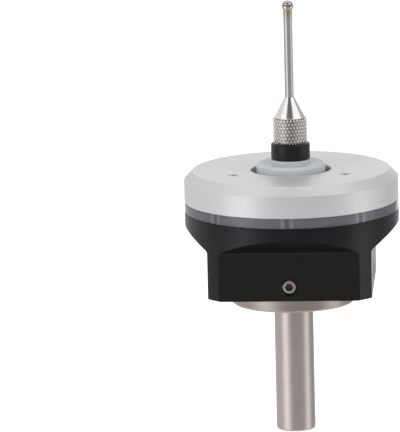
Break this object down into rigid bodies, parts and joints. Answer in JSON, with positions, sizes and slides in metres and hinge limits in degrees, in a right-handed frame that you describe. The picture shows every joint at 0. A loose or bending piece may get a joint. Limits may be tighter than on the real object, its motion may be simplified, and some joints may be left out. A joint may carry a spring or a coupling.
{
  "type": "edge finder",
  "caption": "Touch-probe edge finder: straight shank, milled black housing with a light ring, silver cover and a sprung ball stylus that tilts and plunges.",
  "frame": {"origin": "on the axis at the underside of the flange, where the shank starts", "axes": "+Z along the axis from the shank to the ball; -Y is the normal of the flat that faces the viewer; -X is the normal of the flat with the cable socket"},
  "size_m": [0.0438, 0.0438, 0.0892],
  "materials": {
    "stainless": "fine turned",
    "black_anodised": "satin anodised",
    "screw_steel": "plain",
    "socket_steel": "plated",
    "black_plastic": "satin",
    "board": "lacquered",
    "lamp_resin": "clear",
    "smoky_acrylic": "smoky translucent",
    "satin_aluminium": "satin",
    "brass": "turned",
    "spring_steel": "bright",
    "ball_steel": "polished",
    "nylon": "translucent",
    "stylus_steel": "knurled and polished",
    "contact_metal": "gold plated"
  },
  "bodies": {
    "probe_body": {"shank": "stainless", "housing": "black_anodised", "centring_screws": "screw_steel", "socket_shell": "socket_steel", "socket_tongue": "black_plastic", "socket_board": "board", "circuit_board": "board", "lamps": "lamp_resin", "light_ring": "smoky_acrylic", "cover": "satin_aluminium", "cover_screws": "screw_steel", "pillars": "brass", "seat_ring": "brass", "contact_blade_1": "contact_metal", "contact_blade_2": "contact_metal", "contact_blade_3": "contact_metal", "return_spring": "spring_steel"},
    "carrier": {"spring_cup": "stainless"},
    "rocker": {"pivot_ball": "ball_steel"},
    "stylus": {"stylus_hub": "nylon", "hub_insert": "brass", "contact_pin_1": "contact_metal", "contact_pin_2": "contact_metal", "contact_pin_3": "contact_metal", "collar": "black_plastic", "stylus_base": "stylus_steel", "stylus_stem": "stylus_steel", "ball_tip": "ball_steel"}
  },
  "joints": [
    {"name": "plunge", "type": "slide", "parent": "probe_body", "child": "carrier", "axis": [0, 0, -1], "range_m": [0, 0.004], "stiffness_N_per_m": 300, "springref_m": -0.003, "deforming": ["return_spring"]},
    {"name": "tilt_x", "type": "hinge", "parent": "carrier", "child": "rocker", "pos_m": [0, 0, 0.02], "axis": [1, 0, 0], "range_deg": [-4, 4], "stiffness_Nm_per_rad": 0.1},
    {"name": "tilt_y", "type": "hinge", "parent": "rocker", "child": "stylus", "pos_m": [0, 0, 0.02], "axis": [0, 1, 0], "range_deg": [-4, 4], "stiffness_Nm_per_rad": 0.1}
  ]
}
